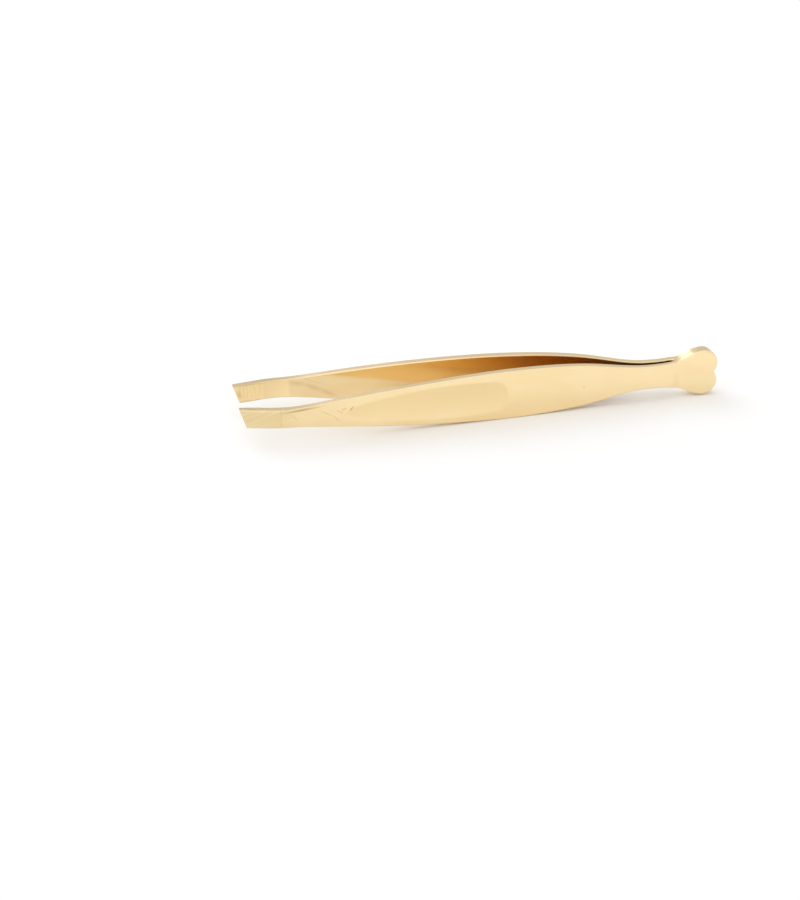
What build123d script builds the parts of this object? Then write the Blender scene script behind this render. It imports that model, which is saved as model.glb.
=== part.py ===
from build123d import *
import os
from math import acos, asin, atan2, degrees, hypot, radians, sin, sqrt, tan

# Slant tweezers of gold-plated stainless strip, lying on their edges. Two bowed arms are welded face to
# face at a two-lobed tail. Each arm steps clear of the weld and narrows to a neck, which is the spring. It
# widens and thickens to a belly with a finger dish, and tapers to a tip that is bent inward, ground flat
# inside and cut on a slant.
#
# Frame: +X from the tips to the tail, -Y towards the front arm, +Z up. The origin is under the middle of the
# tweezers, on the surface that they lie on. Millimetres.
# An arm is first drawn in its own frame: x is the station, counted from the tail end, y is the distance
# from the middle plane between the arms, and z is the height from the arm's middle line. A curve between two
# sizes is drawn through points given as their share of the way along it and their share of its rise.

# Strip
length = 95.0              # tail end to the leading corners of the tips
tail_sheet = 1.35          # thickness of the strip at the tail and the neck
blade_sheet = 1.7          # thickness from the belly to the tip
swell_start = 14.0         # stations between which the strip thickens
swell_end = 42.0
outer_edge_radius = 0.35   # tumbled edges of the outer face
inner_edge_radius = 0.35   # tumbled edges of the inner face

# Tail
lobe_radius = 2.85         # each of the two round lobes
lobe_offset = 1.8          # centre of a lobe above or below the middle line
notch_radius = 0.4         # rounding of the notch between the lobes
weld_length = 7.9          # length over which the arms are joined
weld_film = 0.1            # fused metal between the arms
jog_rise = 0.45            # how far each arm steps outward past the weld
jog_radius = 0.8           # inside of the step's two bends

# Widths along the arm
neck_station = 14.0
neck_width = 4.72
belly_station = 42.0
belly_width = 9.8
shoulder_shares = [
    (0.13, 0.1092),
    (0.2152, 0.2402),
    (0.3184, 0.4803),
    (0.426, 0.7118),
    (0.5336, 0.8515),
    (0.6861, 0.9476),
]                          # from lobe to neck
rising_shares = [(0.1964, 0.2075), (0.3929, 0.5849), (0.6429, 0.8792)]      # from neck to belly
falling_shares = [(0.2921, 0.1387), (0.5843, 0.4516), (0.809, 0.7903)]      # from belly to tip
tip_run = 8.5              # the part at the end whose width is steady
tip_width = 3.7
tip_slant = 19.0           # degrees that the end is off square

# Bow: how the inner face leaves the middle plane, from the step to the claw
bow_reach = 6.31           # distance of the inner face from the middle plane at the claw
bow_end_slope = 0.033
bow_shares = [
    (0.0468, 0.0172),
    (0.0932, 0.0439),
    (0.1529, 0.1119),
    (0.2854, 0.2806),
    (0.4313, 0.4561),
    (0.6023, 0.6592),
    (0.776, 0.8262),
    (0.9085, 0.9432),
]

# Claw: the tip bent inward, with its gripping pad ground flat
claw_run = 10.1            # from the start of the bend to the end
claw_bend_radius = 19.5    # inside of the bend
claw_angle = 15.0          # degrees
tip_gap = 10.3             # between the ends of the two pads, with the arms at rest
pad_slope = 0.14           # how fast the pads close towards the tips at rest
pad_wheel_run = 5.5        # how far from the end the pad's grinding wheel reaches

# Finger dish: a shallow hollow that a round-nosed wheel grinds into the outer face
dish_head_run = 48.6       # from the head to the end of the arm
dish_toe_run = 19.5        # from the toe to the end of the arm
dish_depth = 0.24          # at the head; it runs out at the toe
dish_half_width = 3.2      # at the head

# Flexing neck: each strip bends here, so it is parted here, and the blade turns on the cut's inner edge
flex_station = 18.0
tip_clearance = 0.02       # left between the pads when both arms are pressed home

overshoot = 5.0            # how far a cutting shape runs past what it cuts
belly_half = belly_width / 2
neck_half = neck_width / 2
tip_half = tip_width / 2
half_film = weld_film / 2
arm_reach = bow_reach + blade_sheet + overshoot
flat_out = (1, 0)
jog_reach = 2 * jog_radius + tail_sheet                     # between the centres of the step's two bends
jog_angle = acos(1 - jog_rise / jog_reach)

lobe_summit = (lobe_radius, lobe_offset + lobe_radius)      # station, half width
neck = (neck_station, neck_half)
belly = (belly_station, belly_half)
tip_root = (length - tip_run, tip_half)
bow_start = (weld_length + jog_reach * sin(jog_angle), half_film + jog_rise)    # station, distance outward
bow_end = (length - claw_run, bow_reach)


def through(start, end, shares, last_slope=0):
    """A smooth curve that leaves its start flat and passes through shares of its run and rise."""
    run, rise = end[0] - start[0], end[1] - start[1]
    middle = [(start[0] + along * run, start[1] + up * rise) for along, up in shares]
    return Spline(start, *middle, end, tangents=[flat_out, (1, last_slope)])


def flank(side):
    """One long edge of the outline, from the top of its lobe to its tip corner."""
    places = [(station, side * half_width) for station, half_width in (lobe_summit, neck, belly, tip_root)]
    curves = [
        through(start, end, shares)
        for start, end, shares in zip(places, places[1:], (shoulder_shares, rising_shares, falling_shares))
    ]
    tip_station = length - (tip_half - side * tip_half) * tan(radians(tip_slant))
    return curves + [Line(places[-1], (tip_station, side * tip_half))]


def outline():
    """The strip's outline, seen from the side, as a face on the x-z plane."""
    past_lobe = 90 + degrees(acos(sqrt(lobe_radius**2 - lobe_offset**2) / lobe_radius))
    lobes = [
        CenterArc((lobe_radius, lobe_offset), lobe_radius, 90, past_lobe),
        CenterArc((lobe_radius, -lobe_offset), lobe_radius, 270, -past_lobe),
    ]
    upper, lower = flank(1), flank(-1)
    end_cut = Line(upper[-1] @ 1, lower[-1] @ 1)
    face = make_face(Wire(lobes + upper + lower + [end_cut]))
    notch = face.vertices().filter_by(lambda v: abs(v.Y) < notch_radius).sort_by(Axis.X)[0]
    return Plane.XZ * fillet(notch, notch_radius)


def thickness(station):
    """Thickness of the strip, which swells smoothly from the neck to the belly."""
    share = min(max((station - swell_start) / (swell_end - swell_start), 0), 1)
    return tail_sheet + (blade_sheet - tail_sheet) * share**2 * (3 - 2 * share)


def bow_point(station, depth):
    """Point of the bow near a station, depth outward from the inner face, and the bow's direction there."""
    inner = through(bow_start, bow_end, bow_shares, bow_end_slope)
    share = (station - bow_start[0]) / (bow_end[0] - bow_start[0])
    along = inner % share
    return inner @ share + Vector(-along.Y, along.X) * depth, along


def strip_side(share):
    """One face of the strip, seen from above: share 0 is the inner face and 1 the outer one."""
    tail_depth, blade_depth = share * tail_sheet, share * blade_sheet
    run = bow_end[0] - bow_start[0]
    stations = [bow_start[0] + along * run for along, _ in [(0, 0), *bow_shares, (1, 1)]]
    points = [bow_point(station, share * thickness(station))[0] for station in stations]
    slope_out = (1, bow_end_slope)
    flat = Line((0, half_film + tail_depth), (weld_length, half_film + tail_depth))
    outward = JernArc(flat @ 1, flat_out, jog_radius + tail_sheet - tail_depth, degrees(jog_angle))
    level = JernArc(outward @ 1, outward % 1, jog_radius + tail_depth, -degrees(jog_angle))
    bowed = Spline(level @ 1, *points[1:], tangents=[flat_out, slope_out])
    claw = JernArc(points[-1], slope_out, claw_bend_radius + blade_depth, -claw_angle)
    tip = Line(claw @ 1, claw @ 1 + (claw % 1) * (length - bow_end[0] + overshoot))
    return [flat, outward, level, bowed, claw, tip]


def strip_plan():
    """The strip seen from above, as a face on the x-y plane."""
    inner, outer = strip_side(0), strip_side(1)
    ends = [Line(inner[0] @ 0, outer[0] @ 0), Line(inner[-1] @ 1, outer[-1] @ 1)]
    return make_face(Wire(inner + outer + ends))


def rim_edges(arm, outer):
    """Long edges of the arm's outer or inner face; the slanted end stays sharp."""
    inner_side = Wire(strip_side(0))

    def is_rim(edge):
        middle = edge @ 0.5
        crosses = edge.geom_type == GeomType.LINE and abs(middle.Z) < tip_half / 2
        apart = inner_side.distance_to(Vertex(middle.X, middle.Y, 0))
        close = tail_sheet / 4
        return not crosses and (apart > tail_sheet - close if outer else apart < close)

    return arm.edges().filter_by(is_rim)


def slab(first, last):
    """Everything between two stations."""
    return Pos((first + last) / 2, 0, 0) * Box(last - first, 4 * arm_reach, 2 * belly_width)


def pad_cutter():
    """What the grinding of the pad takes off the inside of the tip."""
    end, inside = tip_gap / 2, -overshoot
    root = length - arm_reach
    near = [(root, end + arm_reach * pad_slope), (length + overshoot, end - overshoot * pad_slope)]
    plan = make_face(Polyline(*near, (length + overshoot, inside), (root, inside), close=True))
    block = Pos(0, 0, -belly_width) * extrude(plan, amount=2 * belly_width)
    return block & slab(length - pad_wheel_run, length + overshoot)


def dish_cutter():
    """A long round-nosed wheel pass, deepest at its nose."""
    wheel = (dish_half_width**2 + dish_depth**2) / (2 * dish_depth)
    head, _ = bow_point(length - dish_head_run, blade_sheet + wheel - dish_depth)
    toe, _ = bow_point(length - dish_toe_run, blade_sheet + wheel)
    run = (toe - head).normalized()
    barrel = Plane(head, x_dir=(0, 0, 1), z_dir=run) * Cylinder(
        wheel, (toe - head).length + overshoot, align=(Align.CENTER, Align.CENTER, Align.MIN)
    )
    return [barrel, Pos(head) * Sphere(wheel)]


def arm():
    """The whole strip of one arm, before it is parted at its flexing neck."""
    side_view = extrude(outline(), amount=-arm_reach)
    blank = Pos(0, 0, -belly_width) * extrude(strip_plan(), amount=2 * belly_width) & side_view
    outside = fillet(rim_edges(blank, True), outer_edge_radius)
    both_sides = fillet(rim_edges(outside, False), inner_edge_radius)
    lobes = outside & slab(-overshoot, weld_length)
    strip = lobes + (both_sides & slab(weld_length, length + overshoot))
    strip -= pad_cutter()
    for wheel_pass in dish_cutter():
        strip -= wheel_pass
    return strip


def parted(strip):
    """The tail piece and the blade of an arm, cut square to the strip where it bends."""
    hinge, along = bow_point(flex_station, 0)
    behind, ahead = [
        Plane(hinge, x_dir=(0, 0, 1), z_dir=along)
        * Box(2 * belly_width, 4 * arm_reach, 2 * length, align=(Align.CENTER, Align.CENTER, end))
        for end in (Align.MAX, Align.MIN)
    ]
    return strip & behind, strip & ahead


def closing_angle():
    """Degrees that each blade turns until the leading corners of the pads almost touch."""
    hinge, _ = bow_point(flex_station, 0)
    ahead, aside = length - hinge.X, tip_gap / 2 - hinge.Y
    swing = asin((hinge.Y - tip_clearance / 2) / hypot(ahead, aside))
    return degrees(atan2(aside, ahead) + swing)


def laid_down(piece):
    """From an arm's own frame to the tweezers': the front arm, lying on its lower edge."""
    return Pos(length / 2, 0, belly_half) * Rot(0, 0, 180) * piece


def weld():
    """The fused metal between the two tails, flush with their edges."""
    film = extrude(outline(), amount=-half_film, both=True)
    return laid_down(film & slab(-overshoot, weld_length))


os.makedirs("parts", exist_ok=True)
front_tail, front_blade = [laid_down(piece) for piece in parted(arm())]
nodes = {
    "front_arm_tail": front_tail,
    "front_arm_blade": front_blade,
    "back_arm_tail": mirror(front_tail, about=Plane.XZ),
    "back_arm_blade": mirror(front_blade, about=Plane.XZ),
    "tail_weld": weld(),
}
for name, piece in nodes.items():
    export_step(piece, f"parts/{name}.step")

hinge, _ = bow_point(flex_station, 0)
print(f"each blade closes by {closing_angle():.3f} degrees")
print(f"the front arm's hinge stands at x {length / 2 - hinge.X:.4f}, y {-hinge.Y:.4f}")
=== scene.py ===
from math import acos, asin, atan, cos, pi, radians, sin, sqrt, tan

import bpy
import numpy as np
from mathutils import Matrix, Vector


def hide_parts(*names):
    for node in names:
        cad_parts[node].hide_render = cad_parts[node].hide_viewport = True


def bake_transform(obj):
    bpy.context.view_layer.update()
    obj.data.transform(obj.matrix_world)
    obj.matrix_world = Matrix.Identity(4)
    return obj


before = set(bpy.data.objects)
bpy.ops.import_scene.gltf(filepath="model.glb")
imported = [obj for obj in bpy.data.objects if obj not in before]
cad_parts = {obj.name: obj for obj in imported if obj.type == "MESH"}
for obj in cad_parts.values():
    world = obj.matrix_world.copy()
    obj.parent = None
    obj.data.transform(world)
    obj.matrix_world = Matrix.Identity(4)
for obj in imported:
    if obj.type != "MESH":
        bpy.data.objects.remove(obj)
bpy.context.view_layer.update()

# Slant tweezers of polished gold plate, lying on a pale floor. Each arm is one unbroken strip, which bends
# at its neck. It is built in the arm's own frame, in millimetres: x is the station, counted from the tail
# end, y is the distance outward from the middle plane, and z is the height from the strip's middle line. A
# place is the distance along the strip's inner face from the tail end, and a depth is the distance outward
# from that face.
MM = 0.001

# Sizes of the solids, in millimetres. A curve between two sizes passes through shares of its run and rise.
LENGTH = 95.0
TAIL_SHEET = 1.35
BLADE_SHEET = 1.7
SWELL_START = 14.0
SWELL_END = 42.0
OUTER_EDGE_RADIUS = 0.35
INNER_EDGE_RADIUS = 0.27          # a little sharper than on the solids
LOBE_RADIUS = 2.85
LOBE_OFFSET = 1.8
NOTCH_RADIUS = 0.4
WELD_LENGTH = 7.9
WELD_FILM = 0.1
JOG_RISE = 0.45
JOG_RADIUS = 0.8
NECK_STATION = 14.0
NECK_WIDTH = 4.72
BELLY_STATION = 42.0
BELLY_WIDTH = 9.8
SHOULDER_SHARES = [
    (0.13, 0.1092), (0.2152, 0.2402), (0.3184, 0.4803), (0.426, 0.7118), (0.5336, 0.8515), (0.6861, 0.9476),
]
RISING_SHARES = [(0.1964, 0.2075), (0.3929, 0.5849), (0.6429, 0.8792)]
FALLING_SHARES = [(0.2921, 0.1387), (0.5843, 0.4516), (0.809, 0.7903)]
TIP_RUN = 8.5
TIP_WIDTH = 3.7
TIP_SLANT = radians(19.0)
BOW_REACH = 6.31
BOW_END_SLOPE = 0.033
BOW_SHARES = [
    (0.0468, 0.0172), (0.0932, 0.0439), (0.1529, 0.1119), (0.2854, 0.2806),
    (0.4313, 0.4561), (0.6023, 0.6592), (0.776, 0.8262), (0.9085, 0.9432),
]
CLAW_RUN = 10.1
CLAW_BEND_RADIUS = 19.5
CLAW_ANGLE = radians(15.0)
TIP_GAP = 10.3
PAD_SLOPE = 0.14
PAD_WHEEL_RUN = 5.5
DISH_HEAD_RUN = 48.6
DISH_TOE_RUN = 19.5
DISH_DEPTH = 0.24
DISH_HALF_WIDTH = 3.2

# Fineness of the mesh
PATH_STEP = 0.02          # between samples of the curves
COLUMN_STEP = 0.4         # along the strip
TAIL_COLUMNS = 64         # from the tail end to where the plain columns start
TAIL_STATION = 12.0       # where the plain columns start
TAIL_CORNER = 3 * pi / 4  # turn of a lobe at which the rows of the tail end meet the columns
ROWS = 44                 # across the strip
INNER_EDGE_STEPS = 5
WALL_STEPS = 3
OUTER_EDGE_STEPS = 8
LOBE_STEPS = 60           # between samples of a lobe
LEAN_ROUNDS = 4           # of fitting the columns to the slanted end and the ground pad
NUDGE = 0.05              # to each side, for the slope of the outer face

# Softening that the solids leave out, in millimetres
SEAM_RADIUS = 0.03        # edge of the strip along the weld
SEAM_FADE = 0.9           # over which the inner edge opens past the weld
DISH_SOFTNESS = 0.02      # how much polishing rounds the rim of the dish
SLANT_RUN = 3.4           # over which the columns lean into the slanted end

# Gold plate
GOLD_DEEP = (0.955, 0.75, 0.425, 1)
GOLD_PALE = (0.975, 0.78, 0.46, 1)
GOLD_PAINTED_SHADE_INSIDE = (0.8, 0.575, 0.28, 1)       # painted shade on the inner faces towards the neck, where the arms close in
GOLD_WORN = (0.93, 0.79, 0.53, 1)         # the edges
# the dish's duller ground finish, with painted shade that is stronger high in the dish
GOLD_DISH_AND_SHADE = (0.905, 0.705, 0.385, 1)
GOLD_GROUND = (0.88, 0.695, 0.365, 1)     # the lines of grinding and forming
GOLD_MARK_AND_REFLECTION = (0.56, 0.4, 0.2, 1)           # scuffs and smudges, and a painted dark reflection along the front tip's upper edge
WEAR = 0.45                               # the share of the worn colour on an edge

# Patterns of the plate: how often each changes per millimetre along, up and through the strip, and its
# detail
CLOUDS = ((0.12, 0.3, 0.3), 3.0)
SWIRL = ((0.35, 1.3, 1.0), 2.0)
POLISHING_LINES = ((0.5, 14.0, 3.0), 4.0)
GRINDING_LINES = ((2.5, 0.2, 1.0), 3.0)
FORMING_LINES = ((0.12, 3.2, 1.0), 2.0)
FORMING_TURN = radians(22.0)              # of the lines that forming left on the tips' outer faces
SOFTLY = (0.3, 0.7)                       # levels of a pattern between which it goes from none to full
CRISPLY = (0.35, 0.65)
BACK_ARM_OFFSET = (130.0, 40.0, 0.0)      # sets the back arm's patterns apart from the front arm's

# Where each finish and each painted shade comes in, from none to full
OUTSIDE_DEPTHS = (0.7, 1.1)
INSIDE_DEPTHS = (0.5, 0.0)
NECK_PLACES = (62.0, 32.0)                # of the painted shade on the inner faces
FORMED_PLACES = (84.0, 87.6)
DISH_SHARES = (0.0, 0.15)                 # of the dish's full depth
DISH_SHADE_HEIGHTS = (-3.2, 1.5)
DISH_SHADE_STRENGTHS = (0.3, 1.0)               # of its dull finish and painted shade at those heights: the shade is stronger high in the dish

# How rough the plate is, and what each finish adds
ROUGHNESS = (0.09, 0.15)
DISH_ROUGHNESS = 0.06
GROUND_ROUGHNESS = 0.1
EDGE_ROUGHNESS = 0.1
INSIDE_ROUGHNESS = 0.06

# How high each pattern stands, in millimetres
POLISHING_RISE = 0.0006
SWIRL_RISE = 0.0025
GRINDING_RISE = 0.006
FORMING_RISE = 0.006
MARK_RISE = -0.008

# How bright the plate is, by place, as painted shading: painted shade on the inner faces towards the neck,
# where the arms close in, and on the tips, which are formed and ground after the rest is polished, painted
# shade and highlight bands across the bend of the claw and at the edge of the ground pad
INNER_PAINTED_SHADING = [
    (8.0, 0.68), (16.0, 0.8), (24.0, 0.87), (31.0, 0.99), (55.0, 1.03), (66.0, 1.01), (78.0, 0.95),
    (84.3, 0.94), (84.45, 1.03), (89.2, 0.94), (89.35, 0.86), (89.5, 1.02), (95.0, 1.0),
]
OUTER_PAINTED_SHADING = [(70.0, 1.0), (78.5, 0.95), (87.4, 0.91), (87.5, 0.81), (87.7, 0.87), (95.0, 0.83)]

# Scuffs on the front arm's outer face, and one painted dark reflection along the tip's upper edge: place and
# height of the middle, turn, length, width and strength
SCUFFS_AND_DARK_REFLECTION = [
    (74.4, 0.92, radians(-50.0), 1.4, 0.35, 1.0),
    (75.9, 1.0, radians(-20.0), 1.3, 0.5, 0.45),
    (76.9, 0.65, radians(30.0), 1.3, 0.4, 0.4),
    (76.3, 0.3, radians(-65.0), 0.8, 0.35, 0.4),
    (79.2, 0.46, radians(28.0), 3.0, 0.18, 0.7),
    (77.35, -0.78, radians(42.0), 1.9, 0.18, 0.7),
    (27.98, -0.19, radians(0.0), 0.4, 0.35, 0.8),
    # painted dark reflection along the tip's upper edge, where its rounding starts, not a scuff
    (84.0, 1.6, radians(-6.0), 7.5, 0.5, 1.0),
    (85.2, 0.17, radians(46.0), 2.5, 0.3, 0.25),
]
# Smudges on the back arm's inner face, in the same way
SMUDGES = [
    (94.1, -0.2, radians(65.0), 2.2, 1.1, 0.45),
    (82.6, 0.95, radians(8.0), 5.0, 1.3, 0.3),
    (79.6, 0.0, radians(22.0), 5.0, 1.3, 0.34),
    (76.8, -1.3, radians(27.0), 5.0, 1.2, 0.3),
    (79.4, 1.1, radians(18.0), 7.0, 0.7, 0.14),
]
STROKE_FADE = 1.3                         # how far a mark fades out, in halves of its size

# Light, in metres and watts. Each span is where the room changes to the colour of that side, measured along
# that side's part of a direction of length 1.
ROOM_FRONT = (0.97, 0.97, 0.97, 1)
ROOM_BACK = (0.69, 0.67, 0.66, 1)
ROOM_SIDE = (1.2, 1.2, 1.2, 1)    # past the tips
ROOM_TOP = (1.05, 1.05, 1.05, 1)
BACK_SPAN = (-0.5, 0.5)
SIDE_SPAN = (0.05, -0.12)
TOP_SPAN = (0.7, 0.97)
KEY_SIZE = (0.8, 0.5)
KEY_POWER = 1.0
KEY_DISTANCE = 0.8
KEY_AZIMUTH = radians(-32.0)      # from behind, on the tips' side
KEY_ELEVATION = radians(35.0)
GLOSSY_BOUNCES = 10               # light goes to and fro between the arms
FLOOR_REACH = 3.0
FLOOR_COLOUR = (0.95, 0.95, 0.95, 1)

# The photograph's viewpoint, in millimetres
CAMERA_PLACE = Vector((-81.90, -345.61, 159.75))
CAMERA_AZIMUTH = radians(10.82)
CAMERA_ELEVATION = radians(25.38)
CAMERA_LENS = 80.0
CAMERA_SENSOR = 36.0
CAMERA_CLIP = (0.01, 10.0)        # in metres


def smooth_curve(start, end, shares, last_slope=0.0):
    """Samples of a curve that leaves its start flat and passes through shares of its run and rise."""
    start, end = np.array(start), np.array(end)
    points = np.array([start, *(start + np.array(share) * (end - start) for share in shares), end])
    lengths = np.linalg.norm(np.diff(points, axis=0), axis=1)
    knots = np.concatenate([[0.0], np.cumsum(lengths)])
    count = len(points)
    matrix, wanted = np.zeros((count, count)), np.zeros((count, 2))
    matrix[0, 0] = matrix[-1, -1] = 1.0
    wanted[0] = (1.0, 0.0)
    wanted[-1] = np.array([1.0, last_slope]) / np.hypot(1.0, last_slope)
    for i in range(1, count - 1):
        before, after = lengths[i - 1], lengths[i]
        matrix[i, i - 1:i + 2] = after, 2 * (before + after), before
        rise_before, rise_after = points[i] - points[i - 1], points[i + 1] - points[i]
        wanted[i] = 3 * (after * rise_before / before + before * rise_after / after)
    speeds = np.linalg.solve(matrix, wanted)
    along = np.linspace(0, knots[-1], int(knots[-1] / PATH_STEP))
    i = np.clip(np.searchsorted(knots, along, side="right") - 1, 0, count - 2)
    t = ((along - knots[i]) / lengths[i])[:, None]
    gap = lengths[i][:, None]
    return (
        (1 + 2 * t) * (1 - t) ** 2 * points[i]
        + t * (1 - t) ** 2 * gap * speeds[i]
        + t ** 2 * (3 - 2 * t) * points[i + 1]
        - t ** 2 * (1 - t) * gap * speeds[i + 1]
    )


class Strip:
    """The middle line of one strip: where its inner face runs, how wide it is and how deep each face lies."""

    def __init__(self):
        self.half_film = WELD_FILM / 2
        self.half_tip = TIP_WIDTH / 2
        lobe_top = (LOBE_RADIUS, LOBE_OFFSET + LOBE_RADIUS)
        neck = (NECK_STATION, NECK_WIDTH / 2)
        belly = (BELLY_STATION, BELLY_WIDTH / 2)
        tip_root = (LENGTH - TIP_RUN, self.half_tip)
        self.widths = np.concatenate([
            smooth_curve(lobe_top, neck, SHOULDER_SHARES),
            smooth_curve(neck, belly, RISING_SHARES)[1:],
            smooth_curve(belly, tip_root, FALLING_SHARES)[1:],
            [(LENGTH + TIP_RUN, self.half_tip)],
        ])
        flat = np.arange(-1, WELD_LENGTH, PATH_STEP)
        flat = np.stack([flat, np.full(len(flat), self.half_film)], 1)
        jog_reach = 2 * JOG_RADIUS + TAIL_SHEET
        jog_angle = acos(1 - JOG_RISE / jog_reach)
        step = np.array([sin(jog_angle), 1 - cos(jog_angle)])
        outward = self.bend((WELD_LENGTH, self.half_film), JOG_RADIUS + TAIL_SHEET, 0, jog_angle)
        bow_start = np.array([WELD_LENGTH, self.half_film]) + jog_reach * step
        level = self.bend(outward[-1], JOG_RADIUS, jog_angle, 0)
        bow_end = (LENGTH - CLAW_RUN, BOW_REACH)
        bow = smooth_curve(bow_start, bow_end, BOW_SHARES, BOW_END_SLOPE)
        entry = atan(BOW_END_SLOPE)
        self.claw_heading = entry - CLAW_ANGLE
        claw = self.bend(bow_end, CLAW_BEND_RADIUS, entry, self.claw_heading)
        ahead = np.array([cos(self.claw_heading), sin(self.claw_heading)])
        tip = claw[-1] + np.arange(1, int(CLAW_RUN / PATH_STEP))[:, None] * PATH_STEP * ahead
        lead = np.concatenate([flat, outward, level[1:], bow[1:]])
        path = np.concatenate([lead, claw[1:], tip])
        self.path = path
        self.places = np.concatenate([[0], np.cumsum(np.linalg.norm(np.diff(path, axis=0), axis=1))])
        self.places += path[0, 0]
        slopes = np.gradient(path, self.places, axis=0)
        self.headings = np.arctan2(slopes[:, 1], slopes[:, 0])
        self.claw_start = self.places[len(lead) - 1]
        self.claw_end = self.places[len(lead) + len(claw) - 2]
        self.claw_corner = claw[-1]
        self.pad_start = float(np.interp(LENGTH - PAD_WHEEL_RUN, path[:, 0], self.places))
        self.lay_dish()

    @staticmethod
    def bend(start, radius, heading, new_heading):
        """Samples of an arc that turns from one heading to another."""
        count = max(3, int(radius * abs(new_heading - heading) / PATH_STEP))
        headings = np.linspace(heading, new_heading, count)
        side = np.sign(new_heading - heading)
        spokes = side * radius * np.stack([np.sin(headings), -np.cos(headings)], 1)
        return np.array(start) + spokes - spokes[0]

    def thickness(self, place):
        """Thickness of the strip, which swells smoothly from the neck to the belly."""
        station = np.interp(place, self.places, self.path[:, 0])
        share = np.clip((station - SWELL_START) / (SWELL_END - SWELL_START), 0, 1)
        return TAIL_SHEET + (BLADE_SHEET - TAIL_SHEET) * share ** 2 * (3 - 2 * share)

    def lay_dish(self):
        """The line that the middle of the dish's grinding wheel follows."""
        self.wheel = (DISH_HALF_WIDTH ** 2 + DISH_DEPTH ** 2) / (2 * DISH_DEPTH)
        stations = np.array([LENGTH - DISH_HEAD_RUN, LENGTH - DISH_TOE_RUN])
        places = np.interp(stations, self.path[:, 0], self.places)
        points, normals = self.inner(places), self.outward(places)
        clear = np.array([BLADE_SHEET + self.wheel - DISH_DEPTH, BLADE_SHEET + self.wheel])
        self.dish_head, dish_toe = points + normals * clear[:, None]
        run = dish_toe - self.dish_head
        self.dish_run = run / np.linalg.norm(run)

    def inner(self, place):
        return np.stack([np.interp(place, self.places, self.path[:, i]) for i in (0, 1)], -1)

    def heading(self, place):
        return np.interp(place, self.places, self.headings)

    def outward(self, place):
        heading = self.heading(place)
        return np.stack([-np.sin(heading), np.cos(heading)], -1)

    def station(self, place, depth):
        """The station of what lies depth outward from the inner face."""
        return self.inner(place)[..., 0] + depth * self.outward(place)[..., 0]

    def half_width(self, station):
        return np.interp(station, self.widths[:, 0], self.widths[:, 1])

    def dish(self, place, z):
        """How deep the finger dish is, with a rim that polishing has softened."""
        normal = self.outward(place)
        q = self.inner(place) + BLADE_SHEET * normal - self.dish_head
        across = np.array([-self.dish_run[1], self.dish_run[0]])
        behind = np.minimum(q @ self.dish_run, 0)
        inside = np.maximum(self.wheel ** 2 - z ** 2 - behind ** 2, 0)
        cut = (q @ across + np.sqrt(inside)) / (normal @ across)
        soft = (cut + np.sqrt(cut ** 2 + DISH_SOFTNESS ** 2)) / 2
        reach, left = 8 * DISH_SOFTNESS, DISH_SOFTNESS / 32    # where the softening ends, and its depth there
        return np.where(cut > -reach, soft - left, 0).clip(0)

    def pad(self, place):
        """How deep the flat of the gripping pad is ground into the inner face."""
        point, normal = self.inner(place), self.outward(place)
        over = TIP_GAP / 2 + PAD_SLOPE * (LENGTH - point[..., 0]) - point[..., 1]
        ground = over / (normal[..., 1] + PAD_SLOPE * normal[..., 0])
        return np.where(place > self.pad_start - PATH_STEP, ground, 0).clip(0)

    def end(self, z, depth):
        """Where the strip ends, at a height and a depth: the end is a slanted plane."""
        station = LENGTH - (self.half_tip - z) * tan(TIP_SLANT)
        beyond = station - self.claw_corner[0] + depth * sin(self.claw_heading)
        return self.claw_end + beyond / cos(self.claw_heading)


strip = Strip()
full_end = float(strip.end(strip.half_tip, 0.0))
slant_start = full_end - SLANT_RUN
pad_normal = np.array([-PAD_SLOPE, -1.0, 0.0]) / sqrt(1 + PAD_SLOPE ** 2)


def leant(place, z, depth):
    """The place that a column near the tip leans over to, so that the last one lies on the slanted end."""
    share = np.clip((place - slant_start) / (full_end - slant_start), 0, 1)
    return np.where(share > 0, slant_start + share * (strip.end(z, depth) - slant_start), place)


def columns():
    """Places of the plain columns, with one where the claw starts, ends and is ground."""
    stops = [TAIL_STATION, strip.claw_start, strip.pad_start, strip.claw_end, slant_start, full_end]
    steps = [max(1, round((b - a) / COLUMN_STEP)) for a, b in zip(stops, stops[1:])]
    spans = [np.linspace(a, b, n, endpoint=False) for a, b, n in zip(stops, stops[1:], steps)]
    return np.concatenate([*spans, [full_end]]), sum(steps[:2])


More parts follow.
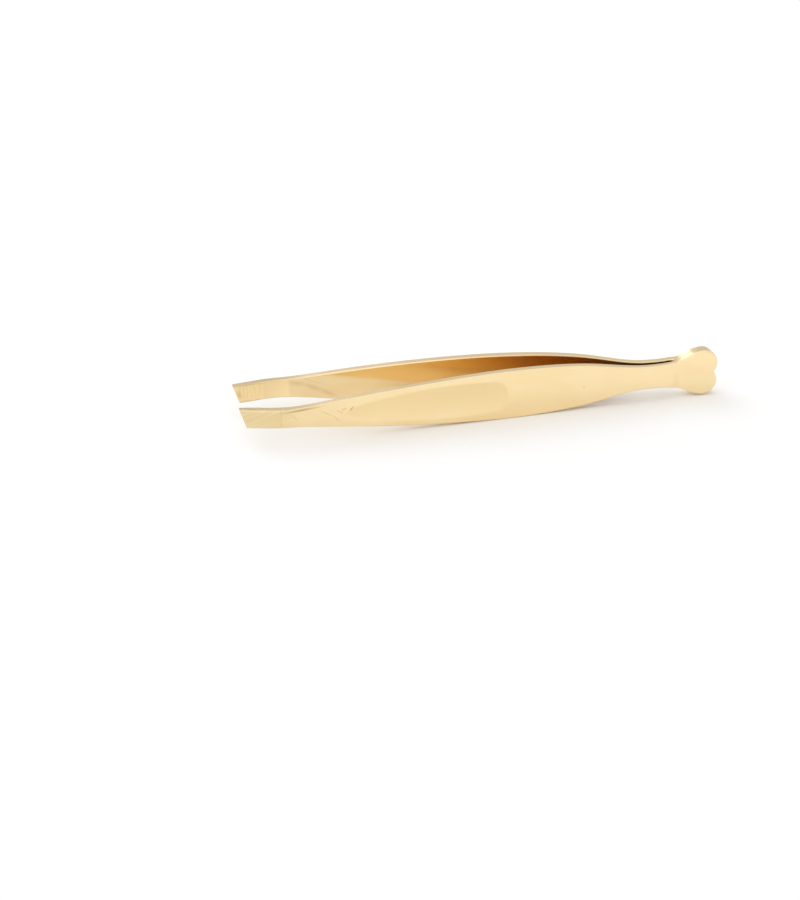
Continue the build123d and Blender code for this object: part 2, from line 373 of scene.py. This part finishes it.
def rim():
    """The strip's outline from the upper tip corner round the lobes to the lower one: place, height, inward
    direction, and whether the height follows the strip's width."""
    places, pad_column = columns()
    stations, half_widths = strip.widths[:-1].T
    slope = np.interp(places, stations, np.gradient(half_widths, stations))
    slope[places > LENGTH - TIP_RUN] = 0
    steep = np.hypot(slope, 1)
    plain = list(zip(places, strip.half_width(places), slope / steep, -1 / steep, np.ones(len(places))))

    shoulder = strip.widths[strip.widths[:, 0] <= TAIL_STATION]
    turn = np.linspace(pi / 2, TAIL_CORNER, LOBE_STEPS)[1:]
    lobe = np.stack([LOBE_RADIUS * (1 + np.cos(turn)), LOBE_OFFSET + LOBE_RADIUS * np.sin(turn)], 1)
    line = np.concatenate([shoulder[::-1], lobe])
    walked = np.concatenate([[0], np.cumsum(np.linalg.norm(np.diff(line, axis=0), axis=1))])
    stops = np.linspace(0, walked[-1], TAIL_COLUMNS + 1)
    tail = np.stack([np.interp(stops, walked, line[:, i]) for i in (0, 1)], 1)
    ahead = np.gradient(line, walked, axis=0)
    ahead = np.stack([np.interp(stops, walked, ahead[:, i]) for i in (0, 1)], 1)
    ahead /= np.linalg.norm(ahead, axis=1)[:, None]
    tail = [(x, z, -dz, dx, x > LOBE_RADIUS) for (x, z), (dx, dz) in zip(tail, ahead)]

    notch_x = LOBE_RADIUS - sqrt((LOBE_RADIUS + NOTCH_RADIUS) ** 2 - LOBE_OFFSET ** 2)
    meet = asin(LOBE_OFFSET / (LOBE_RADIUS + NOTCH_RADIUS))
    lobe_arc, notch_arc = LOBE_RADIUS * (pi - TAIL_CORNER + meet), NOTCH_RADIUS * meet
    half_end = []
    for walk in np.linspace(0, lobe_arc + notch_arc, ROWS // 2 + 1):
        if walk < lobe_arc:
            angle = TAIL_CORNER + walk / LOBE_RADIUS
            x, z = LOBE_RADIUS * (1 + cos(angle)), LOBE_OFFSET + LOBE_RADIUS * sin(angle)
            half_end.append((x, z, -cos(angle), -sin(angle), 0))
        else:
            angle = meet - (walk - lobe_arc) / NOTCH_RADIUS
            x, z = notch_x + NOTCH_RADIUS * cos(angle), NOTCH_RADIUS * sin(angle)
            half_end.append((x, z, cos(angle), sin(angle), 0))

    upper = plain[::-1] + tail[1:] + half_end[1:]
    lower = [(x, -z, nx, -nz, follows) for x, z, nx, nz, follows in upper[-2::-1]]
    return np.array(upper + lower), len(places), pad_column


def outline_at(outline, inset, depth):
    """Places and heights of the outline at a depth, moved inward by an inset."""
    place, z, along, up, follows = outline.T
    width = strip.half_width(strip.station(place, depth))
    z = np.where(follows > 0, np.sign(z) * width, z)
    return place + inset * along, z + inset * up


def face_grid(outline, plain_columns, inset, depth):
    """Places and heights over a face of the strip, in columns from the tail and rows from the top."""
    place, z = outline_at(outline, inset, depth)
    edge = np.stack([place, z], 1)
    top_count = plain_columns + TAIL_COLUMNS
    top, end, bottom = edge[:top_count][::-1], edge[top_count - 1:top_count + ROWS], edge[-top_count:]
    down = np.linspace(0, 1, ROWS + 1)[None, :, None]
    grid = top[:, None] * (1 - down) + bottom[:, None] * down
    along = np.linspace(0, 1, TAIL_COLUMNS + 1)[:, None, None]
    straight_end = (1 - down) * end[0] + down * end[-1]
    grid[:TAIL_COLUMNS + 1] += (1 - along) * (end[None] - straight_end)
    return grid[..., 0], grid[..., 1]


def round_rim(grid):
    """The rim of a face's grid, in the order of the outline."""
    return np.concatenate([grid[::-1, 0], grid[0, 1:], grid[1:, -1]])


def unit(vectors):
    return vectors / np.linalg.norm(vectors, axis=-1, keepdims=True)


def in_strip(place, along, outward, up):
    """Directions given along the strip, outward and up, turned into the arm's frame."""
    heading = strip.heading(place)
    x = along * np.cos(heading) - outward * np.sin(heading)
    y = along * np.sin(heading) + outward * np.cos(heading)
    return unit(np.stack([x, y, np.broadcast_to(up, x.shape)], -1))


class MeshMaker:
    """Collects points, faces and the normals of their corners. Each point also has its place, height and
    depth in the strip, and marks that say how far it is an edge, ground flat, or in the finger dish."""

    def __init__(self):
        self.points, self.strips, self.marks, self.faces, self.normals = [], [], [], [], []
        self.count = 0

    def add(self, place, z, depth, ground_inside=False, edge=0.0, dish=0.0):
        """Adds points that lie at a place, height and depth of the strip, and gives their numbers."""
        place, z, depth, edge, dish = np.broadcast_arrays(place, z, depth, edge, dish)
        wanted, upright = depth, place
        for _ in range(LEAN_ROUNDS):
            place = leant(upright, z, depth)
            if ground_inside:
                depth = np.maximum(wanted, strip.pad(place))
        ground = (strip.pad(place) > wanted) & ground_inside
        xy = strip.inner(place) + depth[..., None] * strip.outward(place)
        self.points.append(np.concatenate([xy, z[..., None]], -1).reshape(-1, 3))
        self.strips.append(np.stack([place, z, depth], -1).reshape(-1, 3))
        self.marks.append(np.stack([edge, ground, dish], -1).reshape(-1, 3))
        first = self.count
        self.count += place.size
        return np.arange(first, self.count).reshape(place.shape)

    def quads(self, numbers, normals, flip=False):
        """Adds faces over a grid of points, with a normal for each point."""
        corners = [(slice(None, -1), slice(None, -1)), (slice(1, None), slice(None, -1)),
                   (slice(1, None), slice(1, None)), (slice(None, -1), slice(1, None))]
        if flip:
            corners = corners[::-1]
        self.faces.append(np.stack([numbers[c] for c in corners], -1).reshape(-1, 4))
        self.normals.append(np.stack([normals[c] for c in corners], -2).reshape(-1, 4, 3))

    def polygon(self, numbers, normal):
        self.faces.append(np.array([numbers]))
        self.normals.append(np.broadcast_to(normal, (1, len(numbers), 3)))


def edge_profile(inner_radius, sheet):
    """Inset, depth, and the outward and sideways parts of the normal, from the inner face to the outer."""
    rows = []
    for turn in np.linspace(0, pi / 2, INNER_EDGE_STEPS + 1):
        rows.append((inner_radius * (1 - sin(turn)), inner_radius * (1 - cos(turn)), -cos(turn), sin(turn)))
    for share in np.linspace(0, 1, WALL_STEPS + 1)[1:-1]:
        rows.append((0, inner_radius + share * (sheet - OUTER_EDGE_RADIUS - inner_radius), 0, 1))
    for turn in np.linspace(0, pi / 2, OUTER_EDGE_STEPS + 1):
        rows.append((OUTER_EDGE_RADIUS * (1 - cos(turn)), sheet - OUTER_EDGE_RADIUS * (1 - sin(turn)),
                     sin(turn), cos(turn)))
    return rows


def rim_marks(shape):
    """1 for the points of a face that lie on its rim, and 0 for the others."""
    marks = np.ones(shape)
    marks[1:, 1:-1] = 0
    return marks


def add_outer_face(maker, outline, plain_columns):
    """The outer face, with the finger dish in it. Gives the numbers of its points."""
    place, z = face_grid(outline, plain_columns, OUTER_EDGE_RADIUS, strip.thickness(outline[:, 0]))

    def depth_at(place, z):
        return strip.thickness(place) - strip.dish(place, z)

    marks = rim_marks(place.shape)
    depth = np.where(marks > 0, strip.thickness(place), depth_at(place, z))
    hollow = (strip.thickness(place) - depth) / DISH_DEPTH
    numbers = maker.add(place, z, depth, edge=marks, dish=hollow)
    along = (depth_at(place + NUDGE, z) - depth_at(place - NUDGE, z)) / (2 * NUDGE)
    across = (depth_at(place, z + NUDGE) - depth_at(place, z - NUDGE)) / (2 * NUDGE)
    maker.quads(numbers, in_strip(place, -along, 1.0, -across))
    return numbers


def add_inner_face(maker, outline, plain_columns, first_ground, edge_radius):
    """The inner face, with the gripping pad ground into it. Gives the numbers of its points."""
    place, z = face_grid(outline, plain_columns, edge_radius, 0.0)
    numbers = maker.add(place, z, 0.0, ground_inside=True, edge=rim_marks(place.shape))
    normals = in_strip(place, 0.0, -1.0, 0.0)
    maker.quads(numbers[:first_ground + 1], normals[:first_ground + 1], flip=True)
    ground = numbers[first_ground:]
    maker.quads(ground, np.broadcast_to(pad_normal, (*ground.shape, 3)), flip=True)
    return numbers


def add_edges(maker, outline, edge_radius, inner, outer):
    """The rounded edge between both faces, all round the strip. Gives the numbers of its points, as rings."""
    place = outline[:, 0]
    rings, ring_normals = [], []
    profile = edge_profile(edge_radius, strip.thickness(place))
    for k, (inset, depth, out, side) in enumerate(profile):
        if k == 0:
            numbers = round_rim(inner)
        elif k == len(profile) - 1:
            numbers = round_rim(outer)
        else:
            at, z = outline_at(outline, inset, depth)
            numbers = maker.add(at, z, depth, ground_inside=True, edge=1.0)
        rings.append(numbers)
        round_normals = in_strip(place, -side * outline[:, 2], out, -side * outline[:, 3])
        ground_off = (strip.pad(place) > depth)[:, None]
        ring_normals.append(np.where(ground_off, pad_normal, round_normals))
    rings = np.stack(rings, 1)
    maker.quads(rings, np.stack(ring_normals, 1), flip=True)
    return rings


def add_slanted_end(maker, inner, outer, rings):
    """The end of the tip, between the last columns of both faces and the ends of the edge."""
    normal = np.array([cos(TIP_SLANT), 0, -sin(TIP_SLANT)])
    for r in range(ROWS):
        maker.polygon([inner[-1, r + 1], outer[-1, r + 1], outer[-1, r], inner[-1, r]], normal)
    maker.polygon(list(rings[0])[::-1], normal)
    maker.polygon(list(rings[-1]), normal)


def build_arm():
    """Points, faces and normals of one arm, in its own frame."""
    maker = MeshMaker()
    outline, plain_columns, pad_column = rim()
    opened = np.clip((outline[:, 0] - WELD_LENGTH) / SEAM_FADE, 0, 1)
    edge_radius = SEAM_RADIUS + (INNER_EDGE_RADIUS - SEAM_RADIUS) * opened ** 2 * (3 - 2 * opened)
    outer = add_outer_face(maker, outline, plain_columns)
    inner = add_inner_face(maker, outline, plain_columns, TAIL_COLUMNS + pad_column, edge_radius)
    rings = add_edges(maker, outline, edge_radius, inner, outer)
    add_slanted_end(maker, inner, outer, rings)
    return maker


def arm_object(name, maker, mirrored):
    """A Blender mesh of an arm, laid down in the tweezers' frame."""
    points = np.concatenate(maker.points)
    side = 1 if mirrored else -1
    lay = np.array([-1, side, 1])
    points = (points * lay + [LENGTH / 2, 0, BELLY_WIDTH / 2]) * MM
    order = slice(None, None, -1) if mirrored else slice(None)
    faces = [list(map(int, face[order])) for block in maker.faces for face in block]
    normals = [normal * lay for block in maker.normals for face in block for normal in face[order]]
    mesh = bpy.data.meshes.new(name)
    mesh.from_pydata(points.tolist(), [], faces)
    for label, values in (("strip", maker.strips), ("marks", maker.marks)):
        layer = mesh.attributes.new(label, "FLOAT_VECTOR", "POINT")
        layer.data.foreach_set("vector", np.concatenate(values).astype(np.float32).ravel())
    mesh.normals_split_custom_set([tuple(n) for n in normals])
    piece = bpy.data.objects.new(name, mesh)
    bpy.context.scene.collection.objects.link(piece)
    return piece


class Nodes:
    """Short calls to build a node tree."""

    def __init__(self, tree):
        self.tree = tree
        tree.nodes.clear()

    def add(self, kind, inputs=None, **settings):
        node = self.tree.nodes.new(kind)
        for name, value in settings.items():
            setattr(node, name, value)
        for name, value in (inputs or {}).items():
            if isinstance(value, bpy.types.NodeSocket):
                self.tree.links.new(value, node.inputs[name])
            else:
                node.inputs[name].default_value = value
        return node

    def math(self, operation, a, b):
        return self.add("ShaderNodeMath", {0: a, 1: b}, operation=operation).outputs[0]

    def vector(self, operation, a, b):
        return self.add("ShaderNodeVectorMath", {0: a, 1: b}, operation=operation).outputs[0]

    def ramp(self, value, low, high, to_low=0.0, to_high=1.0):
        """A smooth step between two values."""
        node = self.add("ShaderNodeMapRange", {
            "Value": value, "From Min": low, "From Max": high, "To Min": to_low, "To Max": to_high,
        }, interpolation_type="SMOOTHSTEP")
        return node.outputs[0]

    def through(self, value, stops):
        """A number below 2 that goes straight from each (value, number) to the next."""
        first, last = stops[0][0], stops[-1][0]
        share = self.add("ShaderNodeMapRange", {"Value": value, "From Min": first, "From Max": last})
        node = self.add("ShaderNodeValToRGB", {0: share.outputs[0]})
        elements = node.color_ramp.elements
        for at, level in stops[1:-1]:
            elements.new((at - first) / (last - first)).color = (level / 2,) * 3 + (1,)
        elements[0].color = (stops[0][1] / 2,) * 3 + (1,)
        elements[len(stops) - 1].color = (stops[-1][1] / 2,) * 3 + (1,)
        return self.math("MULTIPLY", node.outputs[0], 2.0)

    def mix(self, factor, a, b):
        """Between two colours."""
        return self.add("ShaderNodeMix", {0: factor, 6: a, 7: b}, data_type="RGBA").outputs[2]

    def split(self, vector):
        return self.add("ShaderNodeSeparateXYZ", {0: vector}).outputs

    def turn(self, vector, angle):
        """A vector turned in the plane of its first two parts."""
        settings = {"Vector": vector, "Angle": angle}
        return self.add("ShaderNodeVectorRotate", settings, rotation_type="Z_AXIS").outputs[0]

    def noise(self, where, pattern):
        pace, detail = pattern
        settings = {"Vector": self.vector("MULTIPLY", where, pace), "Scale": 1.0, "Detail": detail}
        return self.add("ShaderNodeTexNoise", settings).outputs[0]

    def stroke(self, where, place, height, turn, length, width, strength):
        """The strength along the middle of a short stroke and 0 off it."""
        turned = self.turn(self.vector("SUBTRACT", where, (place, height, 0.0)), -turn)
        scaled = self.vector("MULTIPLY", turned, (2 / length, 2 / width, 0.0))
        off = self.add("ShaderNodeVectorMath", {0: scaled}, operation="LENGTH").outputs["Value"]
        return self.ramp(off, STROKE_FADE, 0.0, 0.0, strength)


def new_material(name):
    material = bpy.data.materials.new(name)
    material.use_nodes = True
    return material, Nodes(material.node_tree)


def coat(nodes, plate, roughness, heights):
    """Polished metal of a colour, a roughness and the heights of its patterns."""
    bump = nodes.add("ShaderNodeBump", {"Height": heights, "Strength": 1.0, "Distance": MM})
    shader = nodes.add("ShaderNodeBsdfPrincipled", {
        "Base Color": plate, "Metallic": 1.0, "Roughness": roughness, "Normal": bump.outputs[0],
    })
    nodes.add("ShaderNodeOutputMaterial", {"Surface": shader.outputs[0]})


def arm_gold(name, offset, strokes, stroked_inside):
    """Gold plate of an arm: faint polishing lines along the strip, a duller ground dish with painted shade
    that is stronger high in it, ground pads, lines of forming at the tip, painted shade on the inner faces
    towards the neck, painted shade and highlight bands at the tips, pale edges where the plating has worn
    thin, and
    strokes on one face: scuffs on the front arm and smudges on the back arm, and on the front arm also a
    painted dark reflection along the tip's upper edge."""
    material, nodes = new_material(name)
    spot = nodes.add("ShaderNodeAttribute", attribute_name="strip").outputs["Vector"]
    marks = nodes.add("ShaderNodeAttribute", attribute_name="marks").outputs["Vector"]
    where = nodes.vector("ADD", spot, offset)
    place, height, depth = nodes.split(spot)
    edge, ground, dish = nodes.split(marks)
    # painted shade in the dish, stronger high in it, on top of its duller finish
    dish_shade = nodes.ramp(height, *DISH_SHADE_HEIGHTS, *DISH_SHADE_STRENGTHS)
    hollow = nodes.math("MULTIPLY", nodes.ramp(dish, *DISH_SHARES), dish_shade)
    outside = nodes.ramp(depth, *OUTSIDE_DEPTHS)
    # painted shade on the inner faces, darkest towards the neck where the arms close in
    inside = nodes.math("MULTIPLY", nodes.ramp(depth, *INSIDE_DEPTHS), nodes.ramp(place, *NECK_PLACES))
    formed = nodes.math("MULTIPLY", outside, nodes.ramp(place, *FORMED_PLACES))

    clouds = nodes.noise(where, CLOUDS)
    grinding = nodes.ramp(nodes.noise(where, GRINDING_LINES), *SOFTLY)
    grinding = nodes.math("MULTIPLY", ground, grinding)
    forming = nodes.ramp(nodes.noise(nodes.turn(where, FORMING_TURN), FORMING_LINES), *CRISPLY)
    forming = nodes.math("MULTIPLY", formed, forming)
    worn = nodes.ramp(edge, 0.0, 1.0, 0.0, WEAR)
    worn = nodes.math("MULTIPLY", worn, nodes.ramp(clouds, *SOFTLY, 0.5, 1.0))
    # scuffs on the front arm, smudges on the back arm, and on the front arm a painted dark reflection
    marks_and_reflection = nodes.stroke(spot, *strokes[0])
    for stroke in strokes[1:]:
        marks_and_reflection = nodes.math("MAXIMUM", marks_and_reflection, nodes.stroke(spot, *stroke))
    stroked_face = nodes.math("SUBTRACT", 1.0, outside) if stroked_inside else outside
    marks_and_reflection = nodes.math("MULTIPLY", marks_and_reflection, stroked_face)

    plate = nodes.mix(nodes.ramp(clouds, *CRISPLY), GOLD_DEEP, GOLD_PALE)
    for mask, colour in (
        (inside, GOLD_PAINTED_SHADE_INSIDE), (worn, GOLD_WORN), (hollow, GOLD_DISH_AND_SHADE),
        (grinding, GOLD_GROUND), (forming, GOLD_GROUND), (marks_and_reflection, GOLD_MARK_AND_REFLECTION),
    ):
        plate = nodes.mix(mask, plate, colour)
    # painted shade and highlight by place, on the plate's colour
    painted_shading = nodes.add("ShaderNodeMix", {
        0: nodes.math("MAXIMUM", outside, edge),
        2: nodes.through(place, INNER_PAINTED_SHADING),
        3: nodes.through(place, OUTER_PAINTED_SHADING),
    }).outputs[0]
    plate = nodes.add("ShaderNodeHueSaturation", {"Value": painted_shading, "Color": plate}).outputs[0]

    roughness = nodes.ramp(clouds, *SOFTLY, *ROUGHNESS)
    for mask, extra in (
        (hollow, DISH_ROUGHNESS), (ground, GROUND_ROUGHNESS),
        (edge, EDGE_ROUGHNESS), (inside, INSIDE_ROUGHNESS),
    ):
        roughness = nodes.math("ADD", roughness, nodes.math("MULTIPLY", mask, extra))
    polishing_rise = nodes.ramp(edge, 0.0, 1.0, POLISHING_RISE, 0.0)
    heights = nodes.math("MULTIPLY", nodes.noise(where, POLISHING_LINES), polishing_rise)
    for pattern, rise in (
        (nodes.noise(where, SWIRL), SWIRL_RISE), (grinding, GRINDING_RISE),
        (forming, FORMING_RISE), (marks_and_reflection, MARK_RISE),
    ):
        heights = nodes.math("ADD", heights, nodes.math("MULTIPLY", pattern, rise))
    coat(nodes, plate, roughness, heights)
    return material


def weld_gold():
    """Gold plate over the weld, worn as pale as the edges beside it."""
    material, nodes = new_material("weld_gold")
    spot = nodes.add("ShaderNodeTexCoord").outputs["Object"]
    where = nodes.vector("MULTIPLY", spot, (1 / MM,) * 3)
    clouds = nodes.noise(where, CLOUDS)
    plate = nodes.mix(nodes.ramp(clouds, *CRISPLY), GOLD_DEEP, GOLD_PALE)
    plate = nodes.mix(nodes.ramp(clouds, *SOFTLY, WEAR / 2, WEAR), plate, GOLD_WORN)
    roughness = nodes.ramp(clouds, *SOFTLY, *(level + EDGE_ROUGHNESS for level in ROUGHNESS))
    coat(nodes, plate, roughness, nodes.math("MULTIPLY", nodes.noise(where, SWIRL), SWIRL_RISE))
    return material


def floor():
    """A wide pale floor, which isn't part of the object."""
    mesh = bpy.data.meshes.new("floor")
    corners = [(FLOOR_REACH * x, FLOOR_REACH * y, 0) for x, y in ((-1, -1), (1, -1), (1, 1), (-1, 1))]
    mesh.from_pydata(corners, [], [(0, 1, 2, 3)])
    piece = bpy.data.objects.new("floor", mesh)
    bpy.context.scene.collection.objects.link(piece)
    material, nodes = new_material("pale_floor")
    shader = nodes.add("ShaderNodeBsdfDiffuse", {"Color": FLOOR_COLOUR})
    nodes.add("ShaderNodeOutputMaterial", {"Surface": shader.outputs[0]})
    mesh.materials.append(material)


def direction(azimuth, elevation):
    """A direction, turned from +Y towards +X and then raised."""
    return Vector((sin(azimuth) * cos(elevation), cos(azimuth) * cos(elevation), sin(elevation)))


def hold(name, data, place, backward):
    """Puts a lamp or a camera at a place, so that it looks away from a direction."""
    holder = bpy.data.objects.new(name, data)
    holder.location = place
    holder.rotation_mode = "QUATERNION"
    holder.rotation_quaternion = backward.to_track_quat("Z", "Y")
    bpy.context.scene.collection.objects.link(holder)
    return holder


def light_up():
    """A soft studio: a white room, dimmer at the back and brighter past the tips, and a wide lamp behind."""
    world = bpy.data.worlds.new("studio")
    bpy.context.scene.world = world
    world.use_nodes = True
    nodes = Nodes(world.node_tree)
    side, back, height = nodes.split(nodes.add("ShaderNodeTexCoord").outputs["Generated"])
    colour = ROOM_FRONT
    for part, span, there in (
        (back, BACK_SPAN, ROOM_BACK), (side, SIDE_SPAN, ROOM_SIDE), (height, TOP_SPAN, ROOM_TOP),
    ):
        colour = nodes.mix(nodes.ramp(part, *span), colour, there)
    background = nodes.add("ShaderNodeBackground", {"Color": colour, "Strength": 1.0})
    nodes.add("ShaderNodeOutputWorld", {"Surface": background.outputs[0]})

    lamp = bpy.data.lights.new("key", "AREA")
    lamp.shape, lamp.size, lamp.size_y = "RECTANGLE", *KEY_SIZE
    lamp.energy = KEY_POWER
    toward = direction(KEY_AZIMUTH, KEY_ELEVATION)
    hold("key", lamp, KEY_DISTANCE * toward, toward)


def add_camera():
    camera = bpy.data.cameras.new("camera")
    camera.lens, camera.sensor_width = CAMERA_LENS, CAMERA_SENSOR
    camera.clip_start, camera.clip_end = CAMERA_CLIP
    backward = -direction(CAMERA_AZIMUTH, -CAMERA_ELEVATION)
    bpy.context.scene.camera = hold("camera", camera, CAMERA_PLACE * MM, backward)


bpy.context.scene.view_settings.view_transform = "Standard"
bpy.context.scene.cycles.glossy_bounces = GLOSSY_BOUNCES
add_camera()
floor()
light_up()

arm = build_arm()
plates = {
    "front": arm_gold("front_gold", (0.0, 0.0, 0.0), SCUFFS_AND_DARK_REFLECTION, stroked_inside=False),
    "back": arm_gold("back_gold", BACK_ARM_OFFSET, SMUDGES, stroked_inside=True),
}
for side, gold in plates.items():
    piece = arm_object(side + "_arm", arm, side == "back")
    piece.data.materials.append(gold)
    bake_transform(piece)
    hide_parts(side + "_arm_tail", side + "_arm_blade")
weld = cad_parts["tail_weld"]
weld.data.materials.clear()
weld.data.materials.append(weld_gold())
